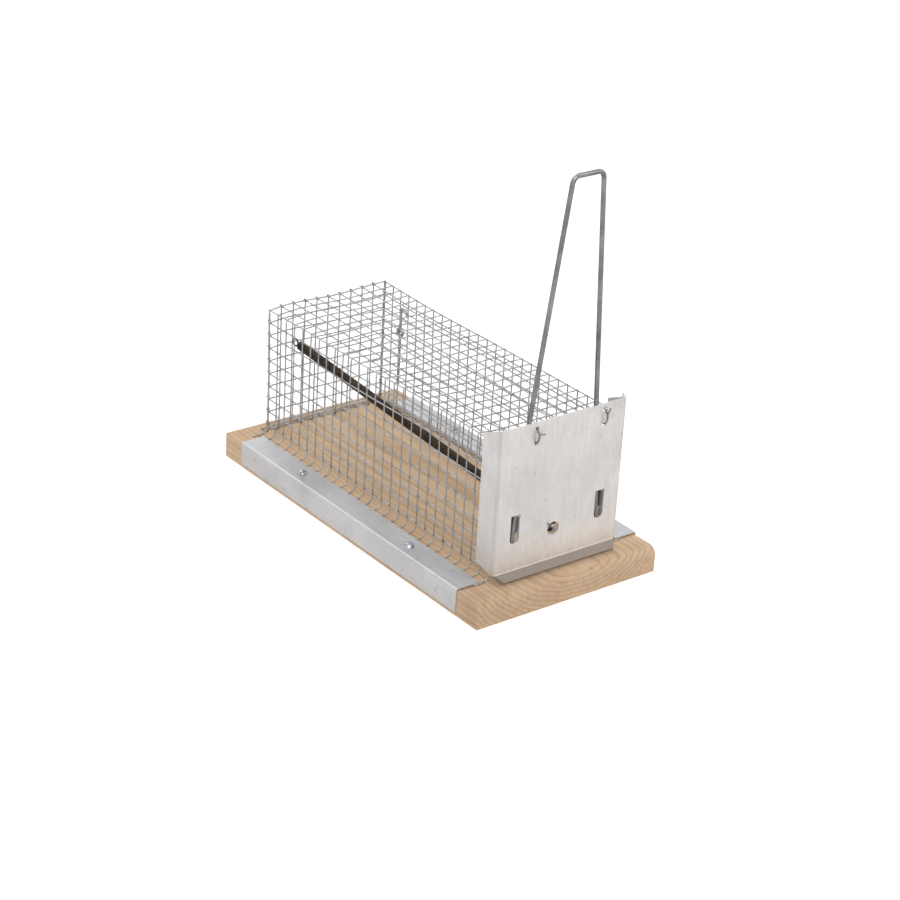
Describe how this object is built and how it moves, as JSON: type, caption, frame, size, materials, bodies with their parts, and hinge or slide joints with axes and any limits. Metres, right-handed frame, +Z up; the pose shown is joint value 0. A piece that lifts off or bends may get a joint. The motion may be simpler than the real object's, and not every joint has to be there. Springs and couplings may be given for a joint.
{
  "type": "live catch mouse trap",
  "caption": "Wooden-base wire mesh cage trap for a mouse, with a sheet metal door closed by a long tension spring, a wire bail that opens it, and a hanging bait trigger.",
  "frame": {"origin": "centre of the underside of the wooden base board", "axes": "+X to the right when facing the door from outside and looking into the cage, +Y from the door to the rear wall, +Z up"},
  "size_m": [0.0974, 0.189, 0.1864],
  "materials": {
    "pine": "sanded bare pine",
    "galvanised_sheet": "satin galvanised",
    "galvanised_mesh": "dull galvanised",
    "bright_steel_wire": "drawn wire",
    "tie_wire": "dull wire",
    "black_spring_wire": "black oiled",
    "tack_steel": "polished dome"
  },
  "bodies": {
    "cage": {"base_board": "pine", "strip_left": "galvanised_sheet", "strip_right": "galvanised_sheet", "tack_left_front": "tack_steel", "tack_left_rear": "tack_steel", "tack_right_front": "tack_steel", "tack_right_rear": "tack_steel", "mesh_left": "galvanised_mesh", "mesh_right": "galvanised_mesh", "mesh_top": "galvanised_mesh", "mesh_rear": "galvanised_mesh", "mesh_flange_left": "galvanised_mesh", "mesh_flange_right": "galvanised_mesh"},
    "door": {"door_sheet": "galvanised_sheet", "bail": "bright_steel_wire", "hinge_ring_left": "tie_wire", "hinge_ring_right": "tie_wire"},
    "trigger": {"trigger_wire": "bright_steel_wire"},
    "spring_tail": {"spring_rear_loop": "black_spring_wire", "spring_coil": "black_spring_wire"},
    "spring_head": {"spring_front_turns": "black_spring_wire"},
    "spring_hook": {"spring_front_hook": "black_spring_wire"}
  },
  "joints": [
    {"name": "door_hinge", "type": "hinge", "parent": "cage", "child": "door", "pos_m": [0, -0.0806, 0.07315], "axis": [-1, 0, 0], "range_deg": [0, 88], "stiffness_Nm_per_rad": 0.02, "springref_deg": -45.84},
    {"name": "trigger_pivot", "type": "hinge", "parent": "cage", "child": "trigger", "pos_m": [0.003, 0.0337, 0.07315], "axis": [-1, 0, 0], "range_deg": [-2, 30]},
    {"name": "spring_anchor", "type": "hinge", "parent": "cage", "child": "spring_tail", "pos_m": [-0.0179, 0.0852, 0.0541], "axis": [-0.9935, -0.0828, -0.0777], "range_deg": [0, 13.62]},
    {"name": "spring_stretch", "type": "slide", "parent": "spring_tail", "child": "spring_head", "axis": [0.0933, -0.9854, -0.1426], "range_m": [0, 0.04033], "deforming": ["spring_coil", "spring_front_turns"]},
    {"name": "spring_hook_turn", "type": "hinge", "parent": "door", "child": "spring_hook", "pos_m": [-0.002, -0.08275, 0.0298], "axis": [0.9943, 0.0847, 0.0649], "range_deg": [0, 74.14]}
  ],
  "couplings": [
    {"joint": "spring_anchor", "follows": "door_hinge", "ratio": 0.15453},
    {"joint": "spring_stretch", "follows": "door_hinge", "m_per_rad": 0.026227},
    {"joint": "spring_hook_turn", "follows": "door_hinge", "ratio": 0.84191}
  ]
}
